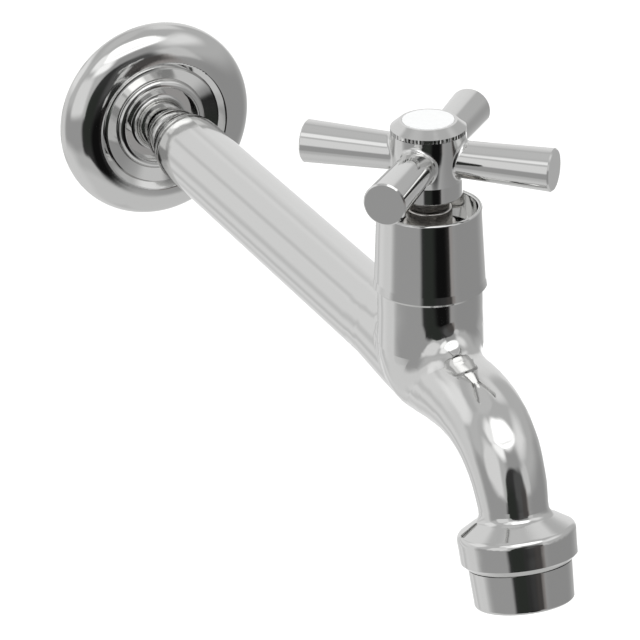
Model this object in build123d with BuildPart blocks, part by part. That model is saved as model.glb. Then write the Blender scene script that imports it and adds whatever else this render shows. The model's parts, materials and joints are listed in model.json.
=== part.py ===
from build123d import *
import os
from math import cos, hypot, isclose, radians, sin, sqrt

# A wall-mounted kitchen tap with a long level tube, an upright valve and a cross handle.
# Millimetres, +Z up. The wall is the plane y = 0, the tap reaches out along -Y, and the
# origin lies on the axis of the tube.

# Overall places
valve_reach = 203.5          # wall to the valve's axis
outlet_reach = 52.8          # valve's axis out to the middle of the collar's lower face
outlet_drop = 35.2           # tube axis down to the middle of the collar's lower face
outlet_tilt = 14.5           # degrees that the outlet leans away from the wall

# Fits
turning_fit = 0.05           # radial play of a shaft in its hole
body_gap = 0.3               # between faces of pieces that move past each other
screw_play = 0.15            # radial play of a fixed thread or spigot in its hole

# Share of a quarter ellipse's half axes at which a Bezier's control points stand
quarter_round = 0.552

# Tube and wall end
thread_radius = 10.48        # G 1/2 male thread over its crests
thread_length = 13.0         # length that goes into the wall
thread_chamfer = 1.0
thread_runout = 0.5          # how far the thread's crests go on in front of the wall
thread_relief = 1.1          # depth of the relief between the thread and the flange
flange_thickness = 0.8       # flange that holds the escutcheon against the wall
flange_overlap = 1.5         # how far it stands out past the thread
flange_root = 2.0            # fillet between the flange and the neck
neck_radius = 7.6
neck_length = 7.2
bead_height = 1.2
bead_length = 7.4
bead_foot = 0.7              # how much further out the bead ends than it starts
shoulder_length = 10.0
ridge_slope = 2.0            # rise over run where the ridge leaves the bead
ridge_radius = 1.2
ridge_turn = 46.0            # degrees that the ridge bends by
tube_radius = 11.1
tube_wall = 3.0
neck_wall = 2.1

# Valve tower of the casting
tower_radius = 14.35
tower_top = 23.9             # shoulder that the bonnet cover stands on
tower_spigot_radius = 12.6
tower_spigot_height = 3.6
flare_radius = 12.6          # the tube widens towards the tower
flare_length = 36.0
tube_blend = 10.0            # fillet behind, between the tube and the tower
belly_swell = 0.3            # how much wider the tower is at the tube's level
belly_depth = 13.8           # bottom of the belly below the tube axis
belly_level = 8.0            # height at which the belly is widest
chamber_radius = 9.2
bonnet_thread_radius = 10.4
bonnet_thread_length = 10.0
spout_blend = 8.0           # fillet in front, between the tower and the spout

# Valve seat and lower gallery
seat_bore_radius = 4.75
seat_lip_radius = 6.0
seat_lip_height = 1.2
seat_level = 4.0             # top of the seat's lip
seat_wall = 1.6
gallery_radius = 4.8
gallery_drop = 4.2           # gallery axis below the tube axis

# Spout
spout_root_drop = 2.7        # start of the spout's centre line below the tube axis
spout_root_handle = 10.0
spout_root_rise = 0.7
spout_tip_handle = 29.7
spout_root_radius = 10.9
spout_middle_radius = 11.05
spout_tip_radius = 9.45
spout_sections = 9
waterway_rise = 8.8          # start of the spout's waterway above the tube axis
waterway_root_radius = 5.6
waterway_tip_radius = 6.2

# Collar and aerator, measured along the outlet's axis from the seam between them
collar_height = 15.65
collar_radius = 16.1
collar_shoulder = 8.8        # height of the band's upper edge
collar_neck = 13.0           # height at which the sloping shoulder meets the spout
collar_chamfer = 1.5
collar_band_taper = 0.35     # how much narrower the band is at its lower edge
collar_crown = 2.2           # rounding of the band's upper edge
collar_fillet = 2.6
collar_ledge = 6.5           # depth of the aerator's hole
seam_gap = 0.35
aerator_radius = 14.0
aerator_bottom_radius = 13.45
aerator_height = 11.1
aerator_edge = 0.9
aerator_thread_radius = 11.8
aerator_thread_height = 4.9
aerator_wall = 1.1
aerator_lip = 0.9
aerator_seal_width = 1.8
flow_plate_height = 3.0
flow_plate_wall = 0.8
flow_holes = 12
flow_hole_radius = 0.7
flow_ring_radius = 5.85
screen_count = 3
screen_pitch = 1.0
screen_thickness = 0.35
nozzle_height = 8.5
nozzle_grille_height = 2.5
nozzle_wall = 1.0
nozzle_rows = 11
nozzle_pitch = 1.9
nozzle_rib = 0.5

# Escutcheon
escutcheon_radius = 32.1
escutcheon_wall = 1.2
escutcheon_rim = 0.9
escutcheon_crown_radius = 21.3
escutcheon_crown_height = 9.0
crown_round = 1.0
groove_radius = 19.3
groove_height = 7.3
ring_height = 7.7            # outer edge of the ring inside the groove
ring_inner_radius = 14.9
ring_inner_height = 6.2
lip_height = 1.4             # rolled lip above the ring
lip_width = 2.0
lip_round = 0.5
escutcheon_roll_radius = 12.4
dome_side = 0.55             # the dome's control points, as shares of its height and width
dome_lean = 0.05
dome_top = 0.5
escutcheon_seat_height = 3.4  # where the body's flange bears on it

# Bonnet cover
cover_top_radius = 14.25
cover_bottom_radius = 15.5
cover_wall = 1.3
cover_height = 23.45
cover_edge = 0.55
cover_chamfer = 0.9
cover_web_height = 3.0
cover_web_gap = 1.4          # from the bonnet's hexagon up to the cover's threaded web
cover_flare = 0.3
cover_flare_height = 3.0

# Headwork
gasket_thickness = 1.0
hex_across_flats = 21.5
hex_height = 6.0
bonnet_collar_radius = 10.0
bonnet_collar_height = 5.2
bonnet_neck_radius = 7.0
bonnet_tail_radius = 8.7
bonnet_tail_length = 5.0
lift = 3.25                  # travel of the valve from shut to fully open
lead_radius = 6.8            # lifting thread of the spindle
spindle_radius = 4.0
spindle_flange_height = 10.0
spindle_collar_radius = 5.5
spindle_collar_height = 3.2
tang_size = 6.0              # across the flats of the square that drives the handle
tang_height = 6.8
box_radius = 5.4             # packing box
packing_height = 3.6
packing_washer_height = 1.0
gland_radius = 6.2
gland_collar_height = 4.4
gland_thread_height = 5.2
gland_edge = 0.6

# Jumper
washer_radius = 6.4
washer_thickness = 3.0
shut_gap = 0.05              # between the washer and the seat when shut
jumper_plate_radius = 6.6
jumper_plate_height = 2.0
jumper_stem_radius = 3.0
jumper_stem_height = 8.5
jumper_stud_radius = 1.6
washer_nut_flats = 5.5
washer_nut_height = 1.8

# Handle
headwork_height = 27.0       # casting's shoulder up to the underside of the hub
hub_foot_radius = 9.0
hub_foot_height = 4.7
hub_foot_edge = 0.5
hub_radius = 10.2
hub_waist_height = 11.8      # where the hub's taper would meet its straight upper part
hub_height = 18.2
arm_height = 11.1            # underside of the hub up to the arms' axes
arm_reach = 35.0
arm_root_radius = 5.05
arm_tip_radius = 5.85
arm_edge = 0.4
arm_fillet = 1.2
arm_count = 4
web_height = 3.0
cap_recess_depth = 4.0
cap_seat_wall = 1.45
head_recess_radius = 5.0
screw_radius = 2.0
screw_head_radius = 3.7
screw_head_height = 2.4
screw_head_round = 0.95
screw_slot_length = 4.4
screw_slot_width = 0.9
screw_slot_depth = 1.4
screw_length = 8.0
screw_washer_radius = 4.0
screw_washer_height = 0.8

# Index cap
cap_radius = 10.2
cap_knurl_height = 1.1
cap_top_radius = 7.8
cap_height = 3.1
cap_wall = 1.0
cap_teeth = 62
cap_tooth_depth = 0.35
disc_radius = 7.0
disc_thickness = 0.9
disc_crown = 0.15

# Frames that the profiles are drawn in
tube_axis = Axis((0, 0, 0), (0, -1, 0))
valve_axis = Axis((0, -valve_reach, 0), (0, 0, 1))
outlet_centre = Vector(0, -valve_reach - outlet_reach, -outlet_drop)
outlet_up = Vector(0, sin(radians(outlet_tilt)), cos(radians(outlet_tilt)))
outlet_axis = Axis(outlet_centre, outlet_up)
wall_section = Plane(origin=(0, 0, 0), x_dir=(0, -1, 0), z_dir=(-1, 0, 0))
valve_section = Plane(origin=(0, -valve_reach, 0), x_dir=(1, 0, 0), z_dir=(0, -1, 0))
outlet_section = Plane(origin=outlet_centre, x_dir=(1, 0, 0), z_dir=Vector(1, 0, 0).cross(outlet_up))


def valve_level(height):
    """Level plane on the valve's axis."""
    return Plane(origin=(0, -valve_reach, height))


def outlet_level(height):
    """Plane across the outlet's axis, at a height above the seam."""
    return Plane(origin=outlet_centre + outlet_up * height, x_dir=(1, 0, 0), z_dir=outlet_up)


# Levels and lengths that follow
hub_bottom = tower_top + headwork_height
hub_waist = hub_bottom + hub_waist_height
hub_top = hub_bottom + hub_height
arm_level = hub_bottom + arm_height
cap_top = hub_top + cap_height
cover_top = tower_top + cover_height
flange_radius = thread_radius + flange_overlap
flange_face = escutcheon_seat_height + flange_thickness
neck_start = flange_face + flange_root
bead_start = neck_start + neck_length
shoulder_start = bead_start + bead_length
shoulder_foot = neck_radius + bead_foot
flare_start = valve_reach - flare_length
tube_start = shoulder_start + shoulder_length
bore_radius = tube_radius - tube_wall
neck_bore_radius = neck_radius - neck_wall
belly_radius = tower_radius + belly_swell
chamber_floor = seat_level - seat_lip_height
tower_rim = tower_top + tower_spigot_height
bonnet_hole_radius = bonnet_thread_radius + screw_play
gallery_end = chamber_radius + tube_wall
spout_tip = outlet_centre + outlet_up * collar_height
lip_top = ring_inner_height + lip_height
dome_width = escutcheon_radius - escutcheon_crown_radius
inner_dome_width = dome_width - escutcheon_wall
escutcheon_hole_radius = thread_radius + body_gap
hex_bottom = tower_rim + gasket_thickness
bonnet_collar_top = hex_bottom + hex_height + bonnet_collar_height
bonnet_foot = tower_rim - bonnet_thread_length - bonnet_tail_length
web_top = hex_bottom + hex_height + cover_web_height + cover_web_gap
cover_thread_radius = bonnet_collar_radius + screw_play
cover_lip_radius = tower_spigot_radius + screw_play
washer_top = seat_level + shut_gap + washer_thickness
spindle_foot = washer_top + jumper_plate_height + body_gap
bonnet_shoulder = spindle_foot + spindle_flange_height + lift + body_gap
spindle_collar_bottom = hub_bottom - spindle_collar_height
gland_bottom = spindle_collar_bottom - body_gap - gland_collar_height - gland_thread_height
bonnet_top = gland_bottom + gland_thread_height - body_gap
packing_bottom = gland_bottom - packing_washer_height - packing_height
web_bottom = hub_bottom + tang_height + screw_play
screw_head_bottom = web_bottom + web_height + screw_washer_height
cap_recess_radius = hub_radius - cap_seat_wall
cap_skirt_radius = cap_recess_radius - screw_play
cap_skirt_bottom = hub_top - cap_recess_depth + body_gap
cap_bottom = hub_top + turning_fit
aerator_hole_radius = aerator_thread_radius + screw_play
aerator_bore_radius = aerator_thread_radius - aerator_wall
aerator_inside_radius = aerator_bore_radius - turning_fit
nozzle_bottom = aerator_lip - aerator_height
screen_top = aerator_thread_height - flow_plate_height

# Body casting: one hollow casting from the wall thread to the collar
spout_line = Bezier(
    (0, -valve_reach, -spout_root_drop),
    (0, -valve_reach - spout_root_handle, -spout_root_drop + spout_root_rise),
    spout_tip + outlet_up * spout_tip_handle,
    spout_tip,
    mode=Mode.PRIVATE,
)
waterway_line = Bezier(
    (0, -valve_reach - chamber_radius / 2, waterway_rise),
    (0, -valve_reach - 2 * chamber_radius, 0),
    spout_tip + outlet_up * spout_tip_handle,
    spout_tip,
    mode=Mode.PRIVATE,
)


def spout_radius(along):
    """Outer radius of the spout, a parabola through its root, middle and tip."""
    root = spout_root_radius * (1 - along) * (1 - 2 * along)
    middle = spout_middle_radius * 4 * along * (1 - along)
    tip = spout_tip_radius * along * (2 * along - 1)
    return root + middle + tip


def waterway_radius(along):
    return waterway_root_radius + (waterway_tip_radius - waterway_root_radius) * along


def across(line, along):
    """Plane square to a line, part of the way along it."""
    return Plane(origin=line @ along, x_dir=(1, 0, 0), z_dir=line % along)


with BuildPart() as body_casting:
    with BuildSketch(valve_section):
        with BuildLine():
            Polyline(
                (0, -belly_depth),
                (0, tower_rim),
                (tower_spigot_radius, tower_rim),
                (tower_spigot_radius, tower_top),
                (tower_radius, tower_top),
                (belly_radius, belly_level),
            )
            Bezier(
                (belly_radius, belly_level),
                (belly_radius, belly_level - quarter_round * (belly_depth + belly_level)),
                (quarter_round * belly_radius, -belly_depth),
                (0, -belly_depth),
            )
        make_face()
    revolve(axis=valve_axis)

    with BuildSketch(wall_section):
        with BuildLine():
            Polyline(
                (valve_reach, 0),
                (-thread_length, 0),
                (-thread_length, thread_radius - thread_chamfer),
                (thread_chamfer - thread_length, thread_radius),
                (thread_runout, thread_radius),
                (thread_runout, thread_radius - thread_relief),
                (escutcheon_seat_height, thread_radius - thread_relief),
                (escutcheon_seat_height, flange_radius),
                (flange_face, flange_radius),
                (flange_face, neck_radius + flange_root),
            )
            RadiusArc((flange_face, neck_radius + flange_root), (neck_start, neck_radius), -flange_root)
            Line((neck_start, neck_radius), (bead_start, neck_radius))
            ThreePointArc(
                (bead_start, neck_radius),
                (bead_start + bead_length / 2, neck_radius + bead_height),
                (shoulder_start, shoulder_foot),
            )
            ridge = JernArc(
                (shoulder_start, shoulder_foot), (1, ridge_slope), ridge_radius, -ridge_turn
            )
            Spline(ridge @ 1, (tube_start, tube_radius), tangents=[ridge % 1, (1, 0)])
            Line((tube_start, tube_radius), (flare_start, tube_radius))
            Spline(
                (flare_start, tube_radius),
                (valve_reach, flare_radius),
                tangents=[(1, 0), (1, 0)],
            )
            Line((valve_reach, flare_radius), (valve_reach, 0))
        make_face()
    revolve(axis=tube_axis)
    fillet(body_casting.edges(Select.NEW), tube_blend)

    for step in range(spout_sections):
        along = step / (spout_sections - 1)
        with BuildSketch(across(spout_line, along)):
            Circle(spout_radius(along))
    loft()
    fillet(body_casting.edges(Select.NEW), spout_blend)

    with BuildSketch(outlet_section) as collar_profile:
        with BuildLine():
            Polyline(
                (0, 0),
                (collar_radius - collar_band_taper - collar_chamfer, 0),
                (collar_radius - collar_band_taper, collar_chamfer),
                (collar_radius, collar_shoulder),
                (spout_tip_radius, collar_neck),
                (spout_tip_radius, collar_height),
                (0, collar_height),
                close=True,
            )
        make_face()
        fillet(collar_profile.vertices().group_by(Axis.Y)[2], collar_crown)
        fillet(collar_profile.vertices().group_by(Axis.Y)[-2], collar_fillet)
    revolve(axis=outlet_axis)

    # waterway from the wall to the gallery under the seat
    with BuildSketch(wall_section):
        with BuildLine():
            Polyline(
                (valve_reach - gallery_end, 0),
                (-thread_length, 0),
                (-thread_length, neck_bore_radius),
                (tube_start, neck_bore_radius),
                (tube_start + tube_wall, bore_radius),
                (valve_reach - gallery_end - bore_radius, bore_radius),
            )
            RadiusArc(
                (valve_reach - gallery_end - bore_radius, bore_radius),
                (valve_reach - gallery_end, 0),
                bore_radius,
            )
        make_face()
    revolve(axis=tube_axis, mode=Mode.SUBTRACT)
    with BuildSketch(Plane(origin=(0, -valve_reach, -gallery_drop), x_dir=(1, 0, 0), z_dir=(0, 1, 0))):
        Circle(gallery_radius)
    extrude(amount=gallery_end + bore_radius, mode=Mode.SUBTRACT)
    with Locations((0, -valve_reach, -gallery_drop)):
        Sphere(gallery_radius, mode=Mode.SUBTRACT)

    # valve chamber with the bonnet's thread above it
    with BuildSketch(valve_level(chamber_floor)):
        Circle(chamber_radius)
    extrude(amount=tower_rim - chamber_floor, mode=Mode.SUBTRACT)
    with BuildSketch(valve_level(tower_rim)):
        Circle(bonnet_hole_radius)
    extrude(amount=-bonnet_thread_length, mode=Mode.SUBTRACT)

    # waterway down the spout, and the hole for the aerator
    for step in range(spout_sections):
        along = step / (spout_sections - 1)
        with BuildSketch(across(waterway_line, along)):
            Circle(waterway_radius(along))
    loft(mode=Mode.SUBTRACT)
    with BuildSketch(outlet_section):
        with BuildLine():
            Polyline(
                (0, 0),
                (aerator_hole_radius, 0),
                (aerator_hole_radius, collar_ledge),
                (waterway_tip_radius, collar_ledge),
                (waterway_tip_radius, collar_height),
                (0, collar_height),
                close=True,
            )
        make_face()
    revolve(axis=outlet_axis, mode=Mode.SUBTRACT)

    # seat: a raised lip round the hole between the gallery and the chamber
    with BuildSketch(valve_level(seat_level)):
        Circle(seat_lip_radius)
    extrude(amount=-(seat_lip_height + seat_wall))
    with BuildSketch(valve_level(seat_level)):
        Circle(seat_bore_radius)
    extrude(amount=-(seat_level + gallery_drop), mode=Mode.SUBTRACT)
body_casting.part.label = "body_casting"

# Escutcheon: a spun shell, domed outside, grooved and dished inside, rolled over to its seat
with BuildPart() as escutcheon:
    with BuildSketch(wall_section) as shell_profile:
        with BuildLine():
            Line((0, escutcheon_radius), (escutcheon_rim, escutcheon_radius))
            Bezier(
                (escutcheon_rim, escutcheon_radius),
                (dome_side * escutcheon_crown_height, escutcheon_radius - dome_lean * dome_width),
                (escutcheon_crown_height, escutcheon_crown_radius + dome_top * dome_width),
                (escutcheon_crown_height, escutcheon_crown_radius),
            )
            Polyline(
                (escutcheon_crown_height, escutcheon_crown_radius),
                (groove_height, groove_radius),
                (ring_height, groove_radius + groove_height - ring_height),
                (ring_inner_height, ring_inner_radius),
            )
            Bezier(
                (ring_inner_height, ring_inner_radius),
                (ring_inner_height + quarter_round * lip_height, ring_inner_radius),
                (lip_top, ring_inner_radius - (1 - quarter_round) * lip_width),
                (lip_top, ring_inner_radius - lip_width),
            )
            Polyline(
                (lip_top, ring_inner_radius - lip_width),
                (lip_top, escutcheon_roll_radius),
                (escutcheon_seat_height, escutcheon_roll_radius),
                (escutcheon_seat_height, escutcheon_hole_radius),
                (escutcheon_seat_height - escutcheon_wall, escutcheon_hole_radius),
                (escutcheon_seat_height - escutcheon_wall, escutcheon_roll_radius + escutcheon_wall),
                (ring_inner_height - escutcheon_wall, ring_inner_radius),
                (groove_height - escutcheon_wall, groove_radius),
                (escutcheon_crown_height - escutcheon_wall, escutcheon_crown_radius + escutcheon_wall / 2),
            )
            Bezier(
                (escutcheon_crown_height - escutcheon_wall, escutcheon_crown_radius + escutcheon_wall / 2),
                (escutcheon_crown_height - escutcheon_wall, escutcheon_crown_radius + dome_top * inner_dome_width),
                (
                    dome_side * escutcheon_crown_height - escutcheon_wall,
                    escutcheon_radius - escutcheon_wall - dome_lean * inner_dome_width,
                ),
                (escutcheon_rim, escutcheon_radius - escutcheon_wall),
            )
            Polyline(
                (escutcheon_rim, escutcheon_radius - escutcheon_wall),
                (0, escutcheon_radius - escutcheon_wall),
                (0, escutcheon_radius),
            )
        make_face()
        crown = shell_profile.vertices().group_by(Axis.X)[-1]
        fillet(crown, crown_round)
        lip = shell_profile.vertices().filter_by(
            lambda corner: isclose(corner.Y, escutcheon_roll_radius)
        )
        fillet(lip.sort_by(Axis.X)[-1], lip_round)
    revolve(axis=tube_axis)
escutcheon.part.label = "escutcheon"

# Bonnet cover: an open-topped bell screwed down over the bonnet
with BuildPart() as bonnet_cover:
    with BuildSketch(valve_section):
        with BuildLine():
            Polyline(
                (cover_lip_radius, tower_top),
                (cover_bottom_radius - cover_chamfer, tower_top),
                (cover_bottom_radius, tower_top + cover_chamfer),
                (cover_bottom_radius - cover_flare, tower_top + cover_flare_height),
                (cover_top_radius, cover_top),
                (cover_top_radius - cover_wall, cover_top),
                (cover_bottom_radius - cover_flare - cover_wall, web_top),
                (cover_thread_radius, web_top),
                (cover_thread_radius, web_top - cover_web_height),
                (cover_bottom_radius - cover_flare - cover_wall, web_top - cover_web_height),
                (cover_bottom_radius - cover_flare - cover_wall, tower_top + cover_wall),
                (cover_lip_radius, tower_top + cover_wall),
                close=True,
            )
        make_face()
    revolve(axis=valve_axis)
    rims = bonnet_cover.edges().filter_by(GeomType.CIRCLE).group_by(Axis.Z)[-1]
    fillet(rims, cover_edge)
bonnet_cover.part.label = "bonnet_cover"

# Headwork that stands in the casting
with BuildPart() as bonnet_gasket:
    with BuildSketch(valve_level(tower_rim)):
        Circle(tower_spigot_radius - screw_play)
        Circle(bonnet_hole_radius, mode=Mode.SUBTRACT)
    extrude(amount=gasket_thickness)
bonnet_gasket.part.label = "bonnet_gasket"

with BuildPart() as bonnet:
    with BuildSketch(valve_section):
        Polygon(
            (0, bonnet_foot),
            (bonnet_tail_radius, bonnet_foot),
            (bonnet_tail_radius, tower_rim - bonnet_thread_length + body_gap),
            (bonnet_thread_radius, tower_rim - bonnet_thread_length + body_gap),
            (bonnet_thread_radius, hex_bottom),
            (bonnet_collar_radius, hex_bottom),
            (bonnet_collar_radius, bonnet_collar_top),
            (bonnet_neck_radius, bonnet_collar_top),
            (bonnet_neck_radius, bonnet_top),
            (0, bonnet_top),
            align=None,
        )
    revolve(axis=valve_axis)
    with BuildSketch(valve_level(hex_bottom)):
        RegularPolygon(hex_across_flats / 2, 6, major_radius=False)
    extrude(amount=hex_height)
    with BuildSketch(valve_section):
        Polygon(
            (0, bonnet_foot),
            (lead_radius + body_gap, bonnet_foot),
            (lead_radius + body_gap, bonnet_shoulder),
            (spindle_radius + turning_fit, bonnet_shoulder),
            (spindle_radius + turning_fit, packing_bottom),
            (box_radius, packing_bottom),
            (box_radius, bonnet_top),
            (0, bonnet_top),
            align=None,
        )
    revolve(axis=valve_axis, mode=Mode.SUBTRACT)
bonnet.part.label = "bonnet"

with BuildPart() as gland_packing:
    with BuildSketch(valve_level(packing_bottom)):
        Circle(box_radius - turning_fit)
        Circle(spindle_radius + turning_fit, mode=Mode.SUBTRACT)
    extrude(amount=packing_height)
gland_packing.part.label = "gland_packing"

with BuildPart() as packing_washer:
    with BuildSketch(valve_level(packing_bottom + packing_height)):
        Circle(box_radius - screw_play)
        Circle(spindle_radius + screw_play, mode=Mode.SUBTRACT)
    extrude(amount=packing_washer_height)
packing_washer.part.label = "packing_washer"

with BuildPart() as gland_nut:
    with BuildSketch(valve_level(gland_bottom)):
        Circle(box_radius - screw_play)
    extrude(amount=gland_thread_height)
    with BuildSketch(valve_level(gland_bottom + gland_thread_height)):
        Circle(gland_radius)
    extrude(amount=gland_collar_height)
    fillet(gland_nut.edges().group_by(Axis.Z)[-1], gland_edge)
    with BuildSketch(valve_level(gland_bottom)):
        Circle(spindle_radius + turning_fit)
    extrude(amount=gland_thread_height + gland_collar_height, mode=Mode.SUBTRACT)
gland_nut.part.label = "gland_nut"

# Spindle: lifting thread below, stem through the gland, square for the handle on top
with BuildPart() as spindle:
    with BuildSketch(valve_section):
        Polygon(
            (0, spindle_foot),
            (lead_radius, spindle_foot),
            (lead_radius, spindle_foot + spindle_flange_height),
            (spindle_radius, spindle_foot + spindle_flange_height),
            (spindle_radius, spindle_collar_bottom),
            (spindle_collar_radius, spindle_collar_bottom),
            (spindle_collar_radius, hub_bottom),
            (0, hub_bottom),
            align=None,
        )
    revolve(axis=valve_axis)
    with BuildSketch(valve_level(hub_bottom)):
        Rectangle(tang_size, tang_size)
    extrude(amount=tang_height)
    with BuildSketch(valve_level(hub_bottom + tang_height)):
        Circle(screw_radius + turning_fit)
    extrude(amount=-(screw_length - web_height - screw_washer_height + body_gap), mode=Mode.SUBTRACT)
    with BuildSketch(valve_level(spindle_foot)):
        Circle(jumper_stem_radius + turning_fit)
    extrude(amount=jumper_stem_height, mode=Mode.SUBTRACT)
spindle.part.label = "spindle"

# Jumper: the plate that carries the rubber washer, free to turn in the spindle's foot
with BuildPart() as jumper:
    with BuildSketch(valve_level(washer_top)):
        Circle(jumper_plate_radius)
    extrude(amount=jumper_plate_height)
    with BuildSketch(valve_level(washer_top + jumper_plate_height)):
        Circle(jumper_stem_radius)
    extrude(amount=jumper_stem_height)
    with BuildSketch(valve_level(washer_top)):
        Circle(jumper_stud_radius)
    extrude(amount=-(washer_thickness + washer_nut_height + body_gap))
jumper.part.label = "jumper"

with BuildPart() as tap_washer:
    with BuildSketch(valve_level(seat_level + shut_gap)):
        Circle(washer_radius)
        Circle(jumper_stud_radius + screw_play, mode=Mode.SUBTRACT)
    extrude(amount=washer_thickness)
tap_washer.part.label = "tap_washer"

with BuildPart() as washer_nut:
    with BuildSketch(valve_level(seat_level + shut_gap)):
        RegularPolygon(washer_nut_flats / 2, 6, major_radius=False)
        Circle(jumper_stud_radius + turning_fit, mode=Mode.SUBTRACT)
    extrude(amount=-washer_nut_height)
washer_nut.part.label = "washer_nut"

# Cross handle: one casting, a hub with four round arms on the diagonals
arm_centre = Vector(0, -valve_reach, arm_level)
arm_taper = (arm_tip_radius - arm_root_radius) / (arm_reach - hub_radius)
hub_shoulder = (hub_waist + hub_top) / 2
with BuildPart() as handle_cross:
    with BuildSketch(valve_section):
        with BuildLine():
            Polyline((0, hub_bottom), (hub_foot_radius, hub_bottom), (hub_foot_radius, hub_bottom + hub_foot_height))
            Bezier((hub_foot_radius, hub_bottom + hub_foot_height), (hub_radius, hub_waist), (hub_radius, hub_shoulder))
            Polyline((hub_radius, hub_shoulder), (hub_radius, hub_top), (0, hub_top), (0, hub_bottom))
        make_face()
    revolve(axis=valve_axis)
    fillet(handle_cross.edges().group_by(Axis.Z)[0], hub_foot_edge)
    for arm in range(arm_count):
        bearing = radians(45 + 360 / arm_count * arm)
        outward = Vector(cos(bearing), sin(bearing), 0)
        with BuildSketch(Plane(origin=arm_centre, x_dir=outward, z_dir=outward.cross(Vector(0, 0, 1)))):
            Polygon(
                (0, 0),
                (arm_reach, 0),
                (arm_reach, arm_tip_radius - arm_edge),
                (arm_reach - arm_edge, arm_tip_radius),
                (0, arm_root_radius - arm_taper * hub_radius),
                align=None,
            )
        revolve(axis=Axis(arm_centre, outward))
        tip = arm_centre + outward * arm_reach
        roots = handle_cross.edges(Select.NEW).filter_by(
            lambda edge: (edge.center() - tip).length > 2 * arm_tip_radius
        )
        fillet(roots, arm_fillet)
    with BuildSketch(valve_level(hub_top)):
        Circle(cap_recess_radius)
    extrude(amount=-cap_recess_depth, mode=Mode.SUBTRACT)
    with BuildSketch(valve_level(web_bottom + web_height)):
        Circle(head_recess_radius)
    extrude(amount=hub_top - web_bottom - web_height, mode=Mode.SUBTRACT)
    with BuildSketch(valve_level(hub_bottom)):
        Rectangle(tang_size + 2 * screw_play, tang_size + 2 * screw_play)
    extrude(amount=web_bottom - hub_bottom, mode=Mode.SUBTRACT)
    with BuildSketch(valve_level(web_bottom)):
        Circle(screw_radius + screw_play)
    extrude(amount=web_height, mode=Mode.SUBTRACT)
handle_cross.part.label = "handle_cross"

with BuildPart() as handle_screw_washer:
    with BuildSketch(valve_level(web_bottom + web_height)):
        Circle(screw_washer_radius)
        Circle(screw_radius + screw_play, mode=Mode.SUBTRACT)
    extrude(amount=screw_washer_height)
handle_screw_washer.part.label = "handle_screw_washer"

with BuildPart() as handle_screw:
    with BuildSketch(valve_level(screw_head_bottom)):
        Circle(screw_head_radius)
    extrude(amount=screw_head_height)
    fillet(handle_screw.edges().group_by(Axis.Z)[-1], screw_head_round)
    with BuildSketch(valve_level(screw_head_bottom)):
        Circle(screw_radius)
    extrude(amount=-screw_length)
    with BuildSketch(valve_level(screw_head_bottom + screw_head_height)):
        Rectangle(screw_slot_length, screw_slot_width)
        Rectangle(screw_slot_width, screw_slot_length)
    extrude(amount=-screw_slot_depth, mode=Mode.SUBTRACT)
handle_screw.part.label = "handle_screw"

# Index cap: a knurled ring with a bevelled top that holds the white disc
with BuildPart() as index_cap:
    with BuildSketch(valve_section):
        Polygon(
            (cap_skirt_radius - cap_wall, cap_skirt_bottom),
            (cap_skirt_radius, cap_skirt_bottom),
            (cap_skirt_radius, cap_bottom),
            (cap_radius, cap_bottom),
            (cap_radius, cap_bottom + cap_knurl_height),
            (cap_top_radius, cap_top),
            (disc_radius + turning_fit, cap_top),
            (disc_radius + turning_fit, cap_top - disc_thickness),
            (0, cap_top - disc_thickness),
            (0, cap_top - disc_thickness - cap_wall),
            (cap_skirt_radius - cap_wall, cap_top - disc_thickness - cap_wall),
            align=None,
        )
    revolve(axis=valve_axis)
    with BuildSketch(valve_level(cap_bottom)):
        with PolarLocations(cap_radius, cap_teeth):
            RegularPolygon(cap_tooth_depth, 4)
    extrude(amount=cap_knurl_height, mode=Mode.SUBTRACT)
index_cap.part.label = "index_cap"

with BuildPart() as index_disc:
    with BuildSketch(valve_level(cap_top - disc_thickness)):
        Circle(disc_radius)
    extrude(amount=disc_thickness + disc_crown)
    fillet(index_disc.edges().group_by(Axis.Z)[-1], disc_crown)
index_disc.part.label = "index_disc"

# Aerator in the collar: housing, seal, flow plate, screens and the caged nozzle
with BuildPart() as aerator_housing:
    with BuildSketch(outlet_section) as housing_profile:
        with BuildLine():
            Polyline(
                (aerator_bore_radius, aerator_thread_height),
                (aerator_bore_radius, aerator_lip - aerator_height),
                (aerator_bore_radius - aerator_lip, aerator_lip - aerator_height),
                (aerator_bore_radius - aerator_lip, -aerator_height),
                (aerator_bottom_radius, -aerator_height),
                (aerator_radius, -seam_gap),
                (aerator_thread_radius, -seam_gap),
                (aerator_thread_radius, aerator_thread_height),
                close=True,
            )
        make_face()
        lowest = housing_profile.vertices().group_by(Axis.Y)[0].sort_by(Axis.X)[-1]
        fillet(lowest, aerator_edge)
    revolve(axis=outlet_axis)
aerator_housing.part.label = "aerator_housing"

with BuildPart() as aerator_seal:
    with BuildSketch(outlet_level(aerator_thread_height)):
        Circle(aerator_thread_radius)
        Circle(aerator_bore_radius - aerator_seal_width, mode=Mode.SUBTRACT)
    extrude(amount=collar_ledge - aerator_thread_height)
aerator_seal.part.label = "aerator_seal"

with BuildPart() as aerator_flow_plate:
    with BuildSketch(outlet_level(aerator_thread_height)):
        Circle(aerator_inside_radius)
    extrude(amount=-flow_plate_height)
    with BuildSketch(outlet_level(aerator_thread_height - flow_plate_wall)):
        Circle(aerator_inside_radius - flow_plate_wall)
    extrude(amount=flow_plate_wall - flow_plate_height, mode=Mode.SUBTRACT)
    with BuildSketch(outlet_level(aerator_thread_height)):
        with PolarLocations(flow_ring_radius, flow_holes):
            Circle(flow_hole_radius)
    extrude(amount=-flow_plate_wall, mode=Mode.SUBTRACT)
aerator_flow_plate.part.label = "aerator_flow_plate"

with BuildPart() as aerator_screens:
    for screen in range(screen_count):
        with BuildSketch(outlet_level(screen_top - screen_pitch * screen)):
            Circle(aerator_inside_radius)
        extrude(amount=-screen_thickness)
aerator_screens.part.label = "aerator_screens"

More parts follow.
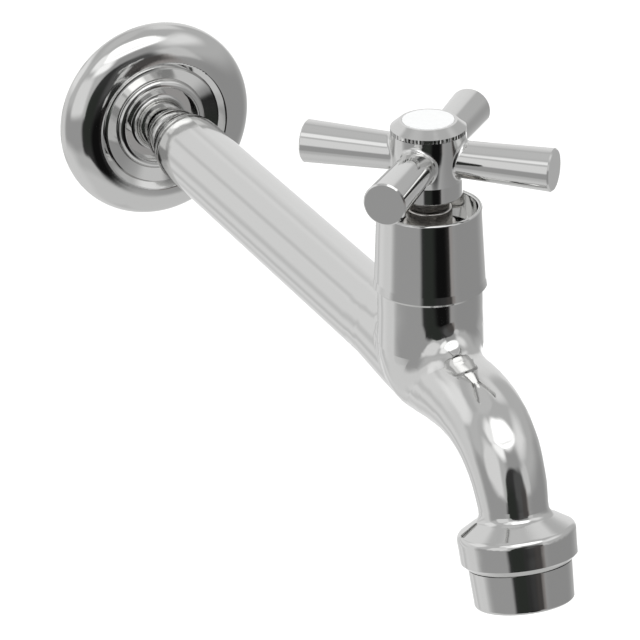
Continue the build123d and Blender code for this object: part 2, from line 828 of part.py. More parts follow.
nozzle_steps = range(-(nozzle_rows // 2), nozzle_rows // 2 + 1)
nozzle_corner = (nozzle_pitch - nozzle_rib) / sqrt(2)
nozzle_cells = [
    (nozzle_pitch * column, nozzle_pitch * row)
    for column in nozzle_steps
    for row in nozzle_steps
    if nozzle_pitch * hypot(column, row) + nozzle_corner < aerator_inside_radius - nozzle_wall
]
with BuildPart() as aerator_nozzle:
    with BuildSketch(outlet_level(nozzle_bottom)):
        Circle(aerator_inside_radius)
        with Locations(*nozzle_cells):
            Rectangle(nozzle_pitch - nozzle_rib, nozzle_pitch - nozzle_rib, mode=Mode.SUBTRACT)
    extrude(amount=nozzle_grille_height)
    with BuildSketch(outlet_level(nozzle_bottom + nozzle_grille_height)):
        Circle(aerator_inside_radius)
        Circle(aerator_inside_radius - nozzle_wall, mode=Mode.SUBTRACT)
    extrude(amount=nozzle_height - nozzle_grille_height)
aerator_nozzle.part.label = "aerator_nozzle"

pieces = [
    body_casting, escutcheon, bonnet_cover, bonnet_gasket, bonnet, gland_packing, packing_washer,
    gland_nut, spindle, jumper, tap_washer, washer_nut, handle_cross, handle_screw_washer,
    handle_screw, index_cap, index_disc, aerator_housing, aerator_seal, aerator_flow_plate,
    aerator_screens, aerator_nozzle,
]
os.makedirs("parts", exist_ok=True)
for piece in pieces:
    export_step(piece.part, "parts/" + piece.part.label + ".step")
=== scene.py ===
import json
import math

import bmesh
import bpy
from mathutils import Matrix, Vector


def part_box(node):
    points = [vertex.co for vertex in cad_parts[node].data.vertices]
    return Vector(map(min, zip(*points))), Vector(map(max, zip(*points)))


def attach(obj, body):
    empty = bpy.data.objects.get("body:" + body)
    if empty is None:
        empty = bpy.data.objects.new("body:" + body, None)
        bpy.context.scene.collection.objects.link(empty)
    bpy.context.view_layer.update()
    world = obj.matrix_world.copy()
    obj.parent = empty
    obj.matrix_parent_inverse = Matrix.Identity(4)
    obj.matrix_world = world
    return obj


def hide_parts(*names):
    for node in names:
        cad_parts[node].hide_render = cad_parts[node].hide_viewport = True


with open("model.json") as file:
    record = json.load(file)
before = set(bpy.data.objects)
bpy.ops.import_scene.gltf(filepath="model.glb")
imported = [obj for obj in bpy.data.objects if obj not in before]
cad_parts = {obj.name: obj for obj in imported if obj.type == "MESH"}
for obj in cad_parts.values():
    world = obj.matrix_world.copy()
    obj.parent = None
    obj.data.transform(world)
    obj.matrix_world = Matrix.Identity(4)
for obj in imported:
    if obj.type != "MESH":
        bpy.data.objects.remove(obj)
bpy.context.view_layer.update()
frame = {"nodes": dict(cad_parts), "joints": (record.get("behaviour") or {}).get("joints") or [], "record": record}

# A wall-mounted kitchen tap in polished chrome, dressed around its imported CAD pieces. Metres, +Z up.

print("frame loaded, pieces:", len(frame["nodes"]))

scene = bpy.context.scene
scene.view_settings.view_transform = "Standard"


def linear(hexColour):
    # sRGB hex such as "#c8c8c8" to the linear colour that a node takes
    parts = [int(hexColour[i:i + 2], 16) / 255 for i in (1, 3, 5)]
    return [p / 12.92 if p <= 0.04045 else ((p + 0.055) / 1.055) ** 2.4 for p in parts] + [1.0]


def addNode(tree, kind, inputs=(), **settings):
    # inputs maps a socket's name or number to a value, to the output socket that feeds it, or to
    # a node whose first output feeds it
    node = tree.nodes.new(kind)
    for name, value in settings.items():
        setattr(node, name, value)
    for name, value in dict(inputs).items():
        if isinstance(value, bpy.types.Node):
            value = value.outputs[0]
        if isinstance(value, bpy.types.NodeSocket):
            tree.links.new(value, node.inputs[name])
        else:
            node.inputs[name].default_value = value
    return node


def newMaterial(name):
    material = bpy.data.materials.new(name)
    material.use_nodes = True
    material.node_tree.nodes.clear()
    return material, material.node_tree


def setMaterial(obj, material):
    obj.data.materials.clear()
    obj.data.materials.append(material)


def towards(azimuth, elevation):
    # a direction in degrees: azimuth 0 is straight out from the wall, and 90 is to the right
    a, e = math.radians(azimuth), math.radians(elevation)
    return Vector((math.sin(a) * math.cos(e), -math.cos(a) * math.cos(e), math.sin(e)))


# Camera: the photograph's angle, a long lens from the front left and above
cameraSizes = {
    "azimuth": -23.651,      # degrees, as in towards
    "elevation": 25.273,
    "roll": -1.612,
    "distance": 0.9673,
    "aside": -0.03051,       # the view's middle, to the right of the valve's axis
    "above": 0.01212,        # and above the tube's axis
    "lens": 198.72,          # millimetres, as the sensor's width is
    "sensor": 36,
    "nearest": 0.05,         # anything closer to the camera isn't drawn
}


def makeCamera(sizes, target):
    turn, roll = math.radians(sizes["azimuth"]), math.radians(sizes["roll"])
    back = towards(sizes["azimuth"], sizes["elevation"])
    levelRight = Vector((math.cos(turn), math.sin(turn), 0))
    levelUp = back.cross(levelRight)
    right = levelRight * math.cos(roll) + levelUp * math.sin(roll)
    up = levelUp * math.cos(roll) - levelRight * math.sin(roll)
    camera = bpy.data.objects.new("camera", bpy.data.cameras.new("camera"))
    scene.collection.objects.link(camera)
    camera.data.lens = sizes["lens"]
    camera.data.sensor_width = sizes["sensor"]
    camera.data.clip_start = sizes["nearest"]
    place = target + right * sizes["aside"] + up * sizes["above"] + back * sizes["distance"]
    camera.matrix_world = Matrix.Translation(place) @ Matrix((right, up, back)).transposed().to_4x4()
    scene.camera = camera


handleJoint = next(j for j in frame["joints"] if j["name"] == "handle_turn")
valveFoot = Vector((handleJoint["pos_m"][0], handleJoint["pos_m"][1], 0))
makeCamera(cameraSizes, valveFoot)
print("camera placed")

# The studio is a pale light tent, and the chrome mirrors it. Each panel covers a range of
# directions about the tap, in degrees as in towards: middle azimuth and elevation, half width and
# half height, softness of the edge, how square its corners are (2 is an ellipse, 8 nearly a
# rectangle), and how bright it is. A later panel lies over the ones before it.
studio = {
    "tentTone": 0.50,
    "panels": [
        ("leftBackWall", -157, -5, 45, 48, 10, 6, 0.70),
        ("leftBackGlow", -127, 28, 20, 14, 12, 3, 0.88),
        ("rightBackWall", 155, 0, 24, 50, 10, 6, 0.74),
        ("rightBackHigh", 128, 56, 24, 12, 12, 3, 0.76),
        ("leftFold", -98, 30, 7.5, 42, 8, 8, 0.54),
        ("leftFoldLow", -96, -12, 10, 15, 10, 4, 0.37),
        ("leftFrontWall", -66, 13, 20, 20, 9, 4, 0.78),
        ("leftFrontLow", -70, -18, 29, 14.5, 9, 5, 0.355),
        ("rightWall", 62, -20, 48, 25, 22, 4, 0.31),
        ("rightFront", 27, 14, 12, 12, 8, 4, 0.62),
        ("rightGlow", 56, 40, 28, 11, 14, 3, 0.85),
        ("underside", 0, -72, 180, 24, 12, 8, 0.62),
        ("leftBounce", -140, -48, 60, 20, 14, 4, 0.70),
        ("ceiling", -150, 75, 70, 16, 12, 6, 0.58),
        ("belowSoftbox", -2, 32, 25, 10, 8, 4, 0.34),
        ("softboxAbove", -9, 59, 53, 16, 6, 2.6, 1.6),
        ("softboxEnd", -66, 50, 14, 10, 8, 3, 1.0),
        ("softboxWing", -40, 38.5, 17, 6.5, 6, 3, 1.15),
        ("softboxSlit", -6, 51.5, 40, 1.6, 4, 6, 1.0),
        ("doorwayFoot", -14.5, -20, 30, 14, 4, 8, 0.036),
        ("doorwayArch", -11, -6, 28, 33, 4, 2.2, 0.038),
        ("doorwayTop", 4, 9, 15, 16, 9, 3, 0.088),
        ("doorwayDeep", -3, -27, 14, 16, 12, 3, 0.006),
        ("doorPost", 14, 1, 8, 10, 8, 4, 0.085),
        ("lampBehind", 146, -25, 14, 7, 8, 2, 1.25),
    ],
    # tints over the same directions, with a colour in place of the brightness
    "tints": [
        ("doorLeaf", -27, -8, 12, 19, 8, 4, "#dfebdf"),
        ("doorPostWarm", 14, -6, 10, 16, 6, 4, "#f2ebe8"),
    ],
    # folds in the tent's back that run away from the wall and streak the tube's length: angle
    # round from straight up towards the left, half width, and the share of the light that is left
    "folds": [(-21, 14, 0.86), (50, 11, 0.82), (108, 16, 0.80), (143, 13, 0.78), (172, 18, 0.86)],
    "foldLift": 1.08,            # how bright the tent is between the folds
    "foldSide": (0.55, 0.80),    # Y of the directions where the folds begin, and where they are full
}


def angleFrom(tree, angle, middle):
    # how far an angle lies from a middle in degrees, the short way round
    offset = addNode(tree, "ShaderNodeMath", {0: angle, 1: math.radians(middle)}, operation="SUBTRACT")
    around = addNode(tree, "ShaderNodeMath", {0: offset, 1: math.pi, 2: -math.pi}, operation="WRAP")
    return addNode(tree, "ShaderNodeMath", {0: around}, operation="ABSOLUTE")


def panelShare(tree, azimuth, elevation, name, middle, height, halfWidth, halfHeight, soft, square):
    # 1 inside a panel and 0 outside it
    reach = []
    for angle, centre, half in ((azimuth, middle, halfWidth), (elevation, height, halfHeight)):
        offset = angleFrom(tree, angle, centre)
        part = addNode(tree, "ShaderNodeMath", {0: offset, 1: math.radians(half)}, operation="DIVIDE")
        reach.append(addNode(tree, "ShaderNodeMath", {0: part, 1: square}, operation="POWER"))
    both = addNode(tree, "ShaderNodeMath", {0: reach[0], 1: reach[1]}, operation="ADD")
    edge = addNode(tree, "ShaderNodeMath", {0: both, 1: 1 / square}, operation="POWER")
    blur = soft / 2 / min(halfWidth, halfHeight)     # edge is 1 on the panel's outline
    return addNode(tree, "ShaderNodeMapRange", {
        "Value": edge, "From Min": 1 - blur, "From Max": 1 + blur, "To Min": 1.0, "To Max": 0.0},
        interpolation_type="SMOOTHSTEP", label=name)


def foldedLight(tree, sizes, axes):
    # the share of the light that the folds leave, 1 away from the tent's back
    leftwards = addNode(tree, "ShaderNodeMath", {0: axes["X"], 1: -1.0}, operation="MULTIPLY")
    lean = addNode(tree, "ShaderNodeMath", {0: leftwards, 1: axes["Z"]}, operation="ARCTAN2")
    light = sizes["foldLift"]
    for middle, halfWidth, left in sizes["folds"]:
        shade = addNode(tree, "ShaderNodeMapRange", {
            "Value": angleFrom(tree, lean, middle), "From Min": 0.0, "From Max": math.radians(halfWidth),
            "To Min": left, "To Max": 1.0}, interpolation_type="SMOOTHSTEP")
        light = addNode(tree, "ShaderNodeMath", {0: light, 1: shade}, operation="MULTIPLY")
    towardsWall = addNode(tree, "ShaderNodeMapRange", {
        "Value": axes["Y"], "From Min": sizes["foldSide"][0], "From Max": sizes["foldSide"][1]},
        interpolation_type="SMOOTHSTEP")
    change = addNode(tree, "ShaderNodeMath", {0: light, 1: 1.0}, operation="SUBTRACT")
    return addNode(tree, "ShaderNodeMath", {0: change, 1: towardsWall, 2: 1.0}, operation="MULTIPLY_ADD")


def makeStudio(sizes):
    world = bpy.data.worlds.new("lightTent")
    scene.world = world
    world.use_nodes = True
    tree = world.node_tree
    tree.nodes.clear()
    direction = addNode(tree, "ShaderNodeTexCoord").outputs["Generated"]
    axes = addNode(tree, "ShaderNodeSeparateXYZ", {0: direction}).outputs
    outwards = addNode(tree, "ShaderNodeMath", {0: axes["Y"], 1: -1.0}, operation="MULTIPLY")
    azimuth = addNode(tree, "ShaderNodeMath", {0: axes["X"], 1: outwards}, operation="ARCTAN2")
    elevation = addNode(tree, "ShaderNodeMath", {0: axes["Z"]}, operation="ARCSINE")
    tone = sizes["tentTone"]
    for *shape, bright in sizes["panels"]:
        share = panelShare(tree, azimuth, elevation, *shape)
        tone = addNode(tree, "ShaderNodeMix", {"Factor": share, "A": tone, "B": bright}, data_type="FLOAT")
    folded = foldedLight(tree, sizes, axes)
    tone = addNode(tree, "ShaderNodeMath", {0: tone, 1: folded}, operation="MULTIPLY")
    tint = linear("#ffffff")
    for *shape, colour in sizes["tints"]:
        share = panelShare(tree, azimuth, elevation, *shape)
        # inputs 6 and 7 and output 2 are a Mix node's colours
        mix = addNode(tree, "ShaderNodeMix", {0: share, 6: tint, 7: linear(colour)}, data_type="RGBA")
        tint = mix.outputs[2]
    tent = addNode(tree, "ShaderNodeBackground", {"Color": tint, "Strength": tone})
    # the camera sees a plain white backdrop in place of the tent
    pale = addNode(tree, "ShaderNodeBackground", {"Color": linear("#ffffff"), "Strength": 1.0})
    path = addNode(tree, "ShaderNodeLightPath").outputs
    straight = addNode(tree, "ShaderNodeMath", {
        0: path["Is Camera Ray"], 1: path["Is Transmission Ray"]}, operation="MAXIMUM")
    shown = addNode(tree, "ShaderNodeMixShader", {0: straight, 1: tent, 2: pale})
    addNode(tree, "ShaderNodeOutputWorld", {"Surface": shown})


makeStudio(studio)

lampSizes = {"power": 7.0, "width": 0.9, "distance": 1.2, "azimuth": -33, "elevation": 56}


def makeLamp(sizes, target):
    # a soft key from the side of the tent's softbox. The metal mirrors the softbox, not this lamp
    lamp = bpy.data.objects.new("softKey", bpy.data.lights.new("softKey", "AREA"))
    scene.collection.objects.link(lamp)
    lamp.data.energy = sizes["power"]
    lamp.data.size = sizes["width"]
    lamp.visible_glossy = False
    back = towards(sizes["azimuth"], sizes["elevation"])
    lamp.location = target + back * sizes["distance"]
    lamp.rotation_mode = "QUATERNION"
    lamp.rotation_quaternion = (-back).to_track_quat("-Z", "Y")


makeLamp(lampSizes, valveFoot)

# A matt pale board under the tap, lifted to white where the camera sees it
floorSizes = {"drop": 0.5, "width": 6.0, "colour": "#f2f2f1", "lift": 0.9, "liftShare": 0.5}


def makeFloor(sizes):
    half = sizes["width"] / 2
    mesh = bpy.data.meshes.new("floor")
    corners = [(-half, -half, 0), (half, -half, 0), (half, half, 0), (-half, half, 0)]
    mesh.from_pydata(corners, [], [(0, 1, 2, 3)])
    mesh.transform(Matrix.Translation((0, 0, -sizes["drop"])))
    floor = bpy.data.objects.new("floor", mesh)
    scene.collection.objects.link(floor)
    floor.visible_glossy = False     # the metal mirrors the tent's own underside
    material, tree = newMaterial("paleBoard")
    matt = addNode(tree, "ShaderNodeBsdfDiffuse", {"Color": linear(sizes["colour"])})
    lift = addNode(tree, "ShaderNodeEmission", {"Color": linear("#ffffff"), "Strength": sizes["lift"]})
    both = addNode(tree, "ShaderNodeAddShader", {0: matt, 1: lift})
    seen = addNode(tree, "ShaderNodeLightPath").outputs["Is Camera Ray"]
    share = addNode(tree, "ShaderNodeMath", {0: seen, 1: sizes["liftShare"]}, operation="MULTIPLY")
    mixed = addNode(tree, "ShaderNodeMixShader", {0: share, 1: matt, 2: both})
    addNode(tree, "ShaderNodeOutputMaterial", {"Surface": mixed})
    setMaterial(floor, material)


makeFloor(floorSizes)
print("studio built")

noiseRange = (0.3, 0.7)      # nearly all of a noise texture's values lie between these

# Polished chrome plate on cast or turned brass: a mirror with the faint waves that the buffing
# wheel leaves. Buffing waves are about 8 mm long, the plate's fine texture about 1 mm.
chromeSizes = {
    "colour": "#e6e6e5", "roughness": (0.045, 0.085), "patch": 0.016,
    "wave": 0.008, "waveHeight": 0.000035, "grain": 0.0011, "grainHeight": 0.0000012,
}


def makeChrome(sizes):
    material, tree = newMaterial("polishedChrome")
    place = addNode(tree, "ShaderNodeTexCoord").outputs["Object"]
    patches = addNode(tree, "ShaderNodeTexNoise", {
        "Vector": place, "Scale": 1 / sizes["patch"], "Detail": 3.0})
    rough = addNode(tree, "ShaderNodeMapRange", {
        "Value": patches.outputs["Fac"], "From Min": noiseRange[0], "From Max": noiseRange[1],
        "To Min": sizes["roughness"][0], "To Max": sizes["roughness"][1]})
    waves = addNode(tree, "ShaderNodeTexNoise", {
        "Vector": place, "Scale": 1 / sizes["wave"], "Detail": 0.0})
    grain = addNode(tree, "ShaderNodeTexNoise", {
        "Vector": place, "Scale": 1 / sizes["grain"], "Detail": 2.0})
    waved = addNode(tree, "ShaderNodeBump", {
        "Height": waves.outputs["Fac"], "Distance": sizes["waveHeight"]})
    grained = addNode(tree, "ShaderNodeBump", {
        "Height": grain.outputs["Fac"], "Distance": sizes["grainHeight"], "Normal": waved})
    metal = addNode(tree, "ShaderNodeBsdfPrincipled", {
        "Base Color": linear(sizes["colour"]), "Metallic": 1.0, "Roughness": rough, "Normal": grained})
    addNode(tree, "ShaderNodeOutputMaterial", {"Surface": metal})
    return material


chrome = makeChrome(chromeSizes)

# Turned pieces keep the fine rings of the lathe tool round the valve's axis. The tool's feed is
# about 0.12 mm a turn, drawn at 0.4 mm so that the rings show. Satin nickel plate is a soft,
# faintly warm grey, bare brass is yellow, and both are duller than the chrome.
nickelSizes = {
    "colour": "#d9d7d4", "dull": "#cbc8c4", "roughness": (0.20, 0.27),
    "feed": 0.0004, "ringHeight": 0.0000006, "patch": 0.004,
}
brassSizes = {
    "colour": "#cda45c", "dull": "#a9803f", "roughness": (0.22, 0.36),
    "feed": 0.0004, "ringHeight": 0.000006, "patch": 0.006,
}
turnedStops = (0.35, 0.60)   # where in the noise the dull and the clean colour are pure


def makeTurned(name, sizes):
    material, tree = newMaterial(name)
    place = addNode(tree, "ShaderNodeTexCoord").outputs["Object"]
    # a wave texture of scale 1 has a band every pi / 10 metres
    rings = addNode(tree, "ShaderNodeTexWave", {
        "Vector": place, "Scale": math.pi / 10 / sizes["feed"], "Distortion": 0.6, "Detail": 2.0,
        "Detail Scale": 0.4}, wave_type="BANDS", bands_direction="Z").outputs["Fac"]
    patches = addNode(tree, "ShaderNodeTexNoise", {
        "Vector": place, "Scale": 1 / sizes["patch"], "Detail": 3.0})
    colour = addNode(tree, "ShaderNodeValToRGB", {"Fac": patches.outputs["Fac"]})
    shades = (sizes["dull"], sizes["colour"])
    for element, stop, shade in zip(colour.color_ramp.elements, turnedStops, shades):
        element.position = stop
        element.color = linear(shade)
    rough = addNode(tree, "ShaderNodeMapRange", {
        "Value": rings, "To Min": sizes["roughness"][0], "To Max": sizes["roughness"][1]})
    cut = addNode(tree, "ShaderNodeBump", {"Height": rings, "Distance": sizes["ringHeight"]})
    metal = addNode(tree, "ShaderNodeBsdfPrincipled", {
        "Base Color": colour, "Metallic": 1.0, "Roughness": rough, "Normal": cut})
    addNode(tree, "ShaderNodeOutputMaterial", {"Surface": metal})
    return material


# The other pieces have a fine grain and a little unevenness in their colour.
rubberSizes = {      # nitrile rubber, moulded: near black with a soft sheen
    "colours": ("#1c1c1c", "#2a2a29"), "roughness": (0.5, 0.7),
    "grain": 0.0006, "grainHeight": 0.00002, "metallic": 0.0,
}
fibreSizes = {       # pressed fibre: brick red, matt and mottled
    "colours": ("#5e1a12", "#8a3526"), "roughness": (0.75, 0.9),
    "grain": 0.0004, "grainHeight": 0.00004, "metallic": 0.0,
}
acetalSizes = {      # acetal, moulded: pale grey with a waxy sheen
    "colours": ("#c3c6c7", "#d3d5d5"), "roughness": (0.32, 0.45),
    "grain": 0.0005, "grainHeight": 0.000008, "metallic": 0.0,
}
whiteSizes = {       # hard plastic from a polished mould: clean white and glossy
    "colours": ("#f6f7f7", "#f8f9f9"), "roughness": (0.08, 0.16),
    "grain": 0.0016, "grainHeight": 0.000004, "metallic": 0.0,
}
zincSizes = {        # zinc-plated steel: pale grey, between bluish and yellowish
    "colours": ("#a9adb0", "#c3c1ba"), "roughness": (0.25, 0.4),
    "grain": 0.0011, "grainHeight": 0.000008, "metallic": 1.0,
}
wireSizes = {        # stainless wire, drawn: smooth and bright, a little duller than the chrome
    "colours": ("#8f9192", "#b4b5b5"), "roughness": (0.22, 0.34),
    "grain": 0.0009, "grainHeight": 0.000004, "metallic": 1.0,
}
grainStops = (0.35, 0.65)    # where in the noise the two colours are pure


def makeGrained(name, sizes):
    material, tree = newMaterial(name)
    place = addNode(tree, "ShaderNodeTexCoord").outputs["Object"]
    grain = addNode(tree, "ShaderNodeTexNoise", {
        "Vector": place, "Scale": 1 / sizes["grain"], "Detail": 4.0}).outputs["Fac"]
    colour = addNode(tree, "ShaderNodeValToRGB", {"Fac": grain})
    for element, stop, shade in zip(colour.color_ramp.elements, grainStops, sizes["colours"]):
        element.position = stop
        element.color = linear(shade)
    rough = addNode(tree, "ShaderNodeMapRange", {
        "Value": grain, "From Min": noiseRange[0], "From Max": noiseRange[1],
        "To Min": sizes["roughness"][0], "To Max": sizes["roughness"][1]})
    bump = addNode(tree, "ShaderNodeBump", {"Height": grain, "Distance": sizes["grainHeight"]})
    shader = addNode(tree, "ShaderNodeBsdfPrincipled", {
        "Base Color": colour, "Metallic": sizes["metallic"], "Roughness": rough, "Normal": bump})
    addNode(tree, "ShaderNodeOutputMaterial", {"Surface": shader})
    return material


finishes = {
    "polished_chrome": chrome,
    "satin_nickel": makeTurned("satinNickel", nickelSizes),
    "turned_brass": makeTurned("turnedBrass", brassSizes),
    "black_rubber": makeGrained("nitrileRubber", rubberSizes),
    "red_fibre": makeGrained("pressedFibre", fibreSizes),
    "zinc_steel": makeGrained("zincPlatedSteel", zincSizes),
    "stainless_mesh": makeGrained("drawnStainlessWire", wireSizes),
    "white_plastic": makeGrained("glossyWhitePlastic", whiteSizes),
    "nozzle_plastic": makeGrained("mouldedAcetal", acetalSizes),
}
for subpart in frame["record"]["subparts"]:
    setMaterial(frame["nodes"][subpart["node"]], finishes[subpart["material_slot"]])
print("finishes made:", len(finishes))


def newShapeTree(name, inputs):
    # a geometry tree with these named inputs, and the sockets that carry them
    tree = bpy.data.node_groups.new(name, "GeometryNodeTree")
    for label, kind in inputs.items():
        tree.interface.new_socket(label, in_out="INPUT", socket_type=kind)
    tree.interface.new_socket("Geometry", in_out="OUTPUT", socket_type="NodeSocketGeometry")
    return tree, addNode(tree, "NodeGroupInput").outputs


def endTree(tree, geometry, material):
    real = addNode(tree, "GeometryNodeRealizeInstances", {"Geometry": geometry})
    painted = addNode(tree, "GeometryNodeSetMaterial", {"Geometry": real, "Material": material})
    addNode(tree, "NodeGroupOutput", {"Geometry": painted})


def growMesh(name, tree, values):
    # the tree's result as a plain mesh in an object of its own
    grown = bpy.data.objects.new(name, bpy.data.meshes.new(name + "Seed"))
    scene.collection.objects.link(grown)
    modifier = grown.modifiers.new("shape", "NODES")
    modifier.node_group = tree
    for socket in tree.interface.items_tree:
        if socket.in_out == "INPUT":
            modifier[socket.identifier] = values[socket.name]
    shape = grown.evaluated_get(bpy.context.evaluated_depsgraph_get())
    mesh = bpy.data.meshes.new_from_object(shape)
    grown.modifiers.remove(modifier)
    grown.data = mesh
    return grown


# Wall thread: G 1/2, 14 threads to the inch, cut with a 55 degree tool. The CAD has a plain
# cylinder over its crests, so a copy of the casting is turned down to the root for the ridge.
threadSizes = {
    "crest": 0.01048, "root": 0.00932, "pitch": 0.0018143, "length": 0.0125,
    "start": -0.0002,        # the spigot lies past this Y, just in front of the wall
    "sunk": 0.0003,          # how far the ridge's foot stands in the core
    "flank": 27.5,           # degrees, half of the tool's angle
    "flat": 0.0003,          # the crest's width
    "stepsPerTurn": 40,
    "runOut": 0.06,          # share of the thread's length over which each end fades
    "endHeight": 0.05,       # share of the ridge's size that is left at its tip
    "crease": 26,            # degrees between faces, over which an edge is sharp
    "merge": 0.0000001,      # corners of the CAD's loose triangles this close are one
}


def turnDownSpigot(sizes):
    casting = frame["nodes"]["body_casting"]
    mesh = casting.data.copy()
    # the CAD's own corner normals go through the merge, so that long flat walls stay plain
    normals = mesh.attributes.new("cadNormal", "FLOAT_VECTOR", "CORNER")
    normals.data.foreach_set("vector", [part for corner in mesh.corner_normals for part in corner.vector])
    cleaned = bmesh.new()
    cleaned.from_mesh(mesh)
    bmesh.ops.remove_doubles(cleaned, verts=cleaned.verts, dist=sizes["merge"])
    for vertex in cleaned.verts:
        radius = math.hypot(vertex.co.x, vertex.co.z)
        if vertex.co.y > sizes["start"] and radius > sizes["root"]:
            vertex.co.x *= sizes["root"] / radius
            vertex.co.z *= sizes["root"] / radius
    cleaned.to_mesh(mesh)
    cleaned.free()
    mesh.normals_split_custom_set([corner.vector for corner in mesh.attributes["cadNormal"].data])
    mesh.attributes.remove(mesh.attributes["cadNormal"])
    core = bpy.data.objects.new("casting", mesh)
    scene.collection.objects.link(core)
    setMaterial(core, chrome)
    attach(core, "tap_body")
    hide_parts("body_casting")


def cutThread(sizes):
    tree, given = newShapeTree("wallThread", {
        "Foot Radius": "NodeSocketFloat", "Turns": "NodeSocketFloat", "Steps": "NodeSocketInt",
        "Length": "NodeSocketFloat", "Height": "NodeSocketFloat", "Foot Width": "NodeSocketFloat",
        "Crest Width": "NodeSocketFloat"})
    helix = addNode(tree, "GeometryNodeCurveSpiral", {
        "Resolution": given["Steps"], "Rotations": given["Turns"], "Start Radius": given["Foot Radius"],
        "End Radius": given["Foot Radius"], "Height": given["Length"], "Reverse": True})
    upright = addNode(tree, "GeometryNodeSetCurveNormal", {"Curve": helix}, mode="Z_UP")
    along = addNode(tree, "GeometryNodeSplineParameter").outputs["Factor"]
    offset = addNode(tree, "ShaderNodeMath", {0: along, 1: 0.5}, operation="SUBTRACT")
    fromMiddle = addNode(tree, "ShaderNodeMath", {0: offset}, operation="ABSOLUTE")
    fade = addNode(tree, "ShaderNodeMapRange", {
        "Value": fromMiddle, "From Min": 0.5 - sizes["runOut"], "From Max": 0.5,
        "To Min": 1.0, "To Max": sizes["endHeight"]})
    faded = addNode(tree, "GeometryNodeSetCurveRadius", {"Curve": upright, "Radius": fade})
    # the ridge's outline stands on the helix and points away from the axis
    ridge = addNode(tree, "GeometryNodeCurvePrimitiveQuadrilateral", {
        "Height": given["Height"], "Bottom Width": given["Foot Width"], "Top Width": given["Crest Width"],
        "Offset": 0.0}, mode="TRAPEZOID")
    lift = addNode(tree, "ShaderNodeMath", {0: given["Height"], 1: 0.5}, operation="MULTIPLY")
    lifted = addNode(tree, "ShaderNodeCombineXYZ", {"Y": lift})
    stood = addNode(tree, "GeometryNodeTransform", {"Geometry": ridge, "Translation": lifted})
    turned = addNode(tree, "GeometryNodeTransform", {"Geometry": stood, "Rotation": (0, 0, -math.pi / 2)})
    swept = addNode(tree, "GeometryNodeCurveToMesh", {
        "Curve": faded, "Profile Curve": turned, "Fill Caps": True})
    laid = addNode(tree, "GeometryNodeTransform", {"Geometry": swept, "Rotation": (-math.pi / 2, 0, 0)})
    endTree(tree, laid, chrome)
    foot = sizes["root"] - sizes["sunk"]
    height = sizes["crest"] - foot
    length = sizes["length"] - sizes["pitch"]
    turns = length / sizes["pitch"]
    thread = growMesh("wallThread", tree, {
        "Foot Radius": foot, "Turns": turns, "Steps": int(turns * sizes["stepsPerTurn"]),
        "Length": length, "Height": height, "Crest Width": sizes["flat"],
        "Foot Width": sizes["flat"] + 2 * height * math.tan(math.radians(sizes["flank"]))})
    thread.data.transform(Matrix.Translation((0, sizes["pitch"] / 2, 0)))
    thread.data.shade_smooth()
    thread.data.set_sharp_from_angle(angle=math.radians(sizes["crease"]))
    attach(thread, "tap_body")


turnDownSpigot(threadSizes)
cutThread(threadSizes)
print("wall thread cut")

# Aerator screens: three plain-woven discs. A real screen has 0.16 mm wire at 0.4 mm spacing, and
# these are about twice as coarse, so that the weave shows through the nozzle's grille.
screenSizes = {
    "radius": 0.01055, "spacing": 0.0008, "wire": 0.00028, "stepsPerCell": 4, "sides": 5,
    "count": 3, "step": 0.001,       # from one disc to the next, down the outlet
    "tilt": 14.5,                    # degrees that the outlet leans away from the wall
}


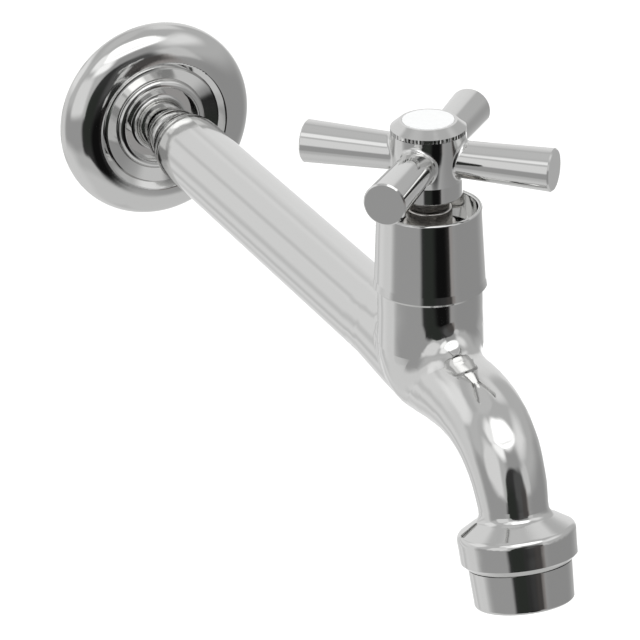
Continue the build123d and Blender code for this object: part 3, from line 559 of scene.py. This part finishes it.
def weaveScreens(sizes):
    tree, given = newShapeTree("wovenScreens", {
        "Radius": "NodeSocketFloat", "Cells": "NodeSocketInt", "Spacing": "NodeSocketFloat",
        "Wire": "NodeSocketFloat", "Wave": "NodeSocketFloat", "Screens": "NodeSocketInt",
        "Step": "NodeSocketFloat"})
    across = addNode(tree, "ShaderNodeMath", {0: given["Cells"], 1: given["Spacing"]}, operation="MULTIPLY")
    steps = addNode(tree, "ShaderNodeMath", {
        0: given["Cells"], 1: sizes["stepsPerCell"], 2: 1}, operation="MULTIPLY_ADD")
    rows = addNode(tree, "ShaderNodeMath", {0: given["Cells"], 1: 1}, operation="ADD")
    sheet = addNode(tree, "GeometryNodeMeshGrid", {
        "Size X": across, "Size Y": across, "Vertices X": steps, "Vertices Y": rows})
    # of the grid only the lines along X stay, as wires
    ends = addNode(tree, "GeometryNodeInputMeshEdgeVertices").outputs
    span = addNode(tree, "ShaderNodeVectorMath", {
        0: ends["Position 1"], 1: ends["Position 2"]}, operation="SUBTRACT")
    spanY = addNode(tree, "ShaderNodeSeparateXYZ", {0: span}).outputs["Y"]
    apart = addNode(tree, "ShaderNodeMath", {0: spanY}, operation="ABSOLUTE")
    halfCell = addNode(tree, "ShaderNodeMath", {0: given["Spacing"], 1: 0.5}, operation="MULTIPLY")
    crosswise = addNode(tree, "ShaderNodeMath", {0: apart, 1: halfCell}, operation="GREATER_THAN")
    wires = addNode(tree, "GeometryNodeDeleteGeometry", {
        "Geometry": sheet, "Selection": crosswise}, domain="EDGE", mode="EDGE_FACE")
    place = addNode(tree, "GeometryNodeInputPosition")
    out = addNode(tree, "ShaderNodeVectorMath", {0: place}, operation="LENGTH").outputs["Value"]
    outside = addNode(tree, "ShaderNodeMath", {0: out, 1: given["Radius"]}, operation="GREATER_THAN")
    disc = addNode(tree, "GeometryNodeDeleteGeometry", {
        "Geometry": wires, "Selection": outside}, domain="POINT", mode="ALL")
    # each wire goes over one crossing and under the next, the other way round from its neighbour
    parts = addNode(tree, "ShaderNodeSeparateXYZ", {0: place}).outputs
    waves = []
    for part in ("X", "Y"):
        cells = addNode(tree, "ShaderNodeMath", {0: parts[part], 1: given["Spacing"]}, operation="DIVIDE")
        phase = addNode(tree, "ShaderNodeMath", {0: cells, 1: math.pi}, operation="MULTIPLY")
        waves.append(addNode(tree, "ShaderNodeMath", {0: phase}, operation="COSINE"))
    wave = addNode(tree, "ShaderNodeMath", {0: waves[0], 1: waves[1]}, operation="MULTIPLY")
    height = addNode(tree, "ShaderNodeMath", {0: wave, 1: given["Wave"]}, operation="MULTIPLY")
    rise = addNode(tree, "ShaderNodeCombineXYZ", {"Z": height})
    warp = addNode(tree, "GeometryNodeSetPosition", {"Geometry": disc, "Offset": rise})
    weft = addNode(tree, "GeometryNodeTransform", {"Geometry": warp, "Rotation": (math.pi, 0, math.pi / 2)})
    both = addNode(tree, "GeometryNodeJoinGeometry")
    for threads in (warp, weft):
        tree.links.new(threads.outputs[0], both.inputs[0])
    lines = addNode(tree, "GeometryNodeMeshToCurve", {"Mesh": both})
    ring = addNode(tree, "GeometryNodeCurvePrimitiveCircle", {
        "Resolution": sizes["sides"], "Radius": given["Wire"]})
    woven = addNode(tree, "GeometryNodeCurveToMesh", {
        "Curve": lines, "Profile Curve": ring, "Fill Caps": True})
    down = addNode(tree, "ShaderNodeCombineXYZ", {"Z": given["Step"]})
    stack = addNode(tree, "GeometryNodeMeshLine", {
        "Count": given["Screens"], "Offset": down}, mode="OFFSET")
    placed = addNode(tree, "GeometryNodeInstanceOnPoints", {"Points": stack, "Instance": woven})
    endTree(tree, placed, finishes["stainless_mesh"])
    screens = growMesh("wovenScreens", tree, {
        "Radius": sizes["radius"], "Cells": 2 * int(sizes["radius"] / sizes["spacing"]),
        "Spacing": sizes["spacing"], "Wire": sizes["wire"] / 2, "Wave": sizes["wire"] / 2,
        "Screens": sizes["count"], "Step": -sizes["step"]})
    low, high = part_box("aerator_screens")
    middle = Matrix.Translation((Vector(low) + Vector(high)) / 2)
    tilt = Matrix.Rotation(-math.radians(sizes["tilt"]), 4, "X")
    topDisc = Matrix.Translation((0, 0, (sizes["count"] - 1) / 2 * sizes["step"]))
    screens.data.transform(middle @ tilt @ topDisc)
    screens.data.shade_smooth()
    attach(screens, "tap_body")
    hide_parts("aerator_screens")


weaveScreens(screenSizes)
print("screens woven")
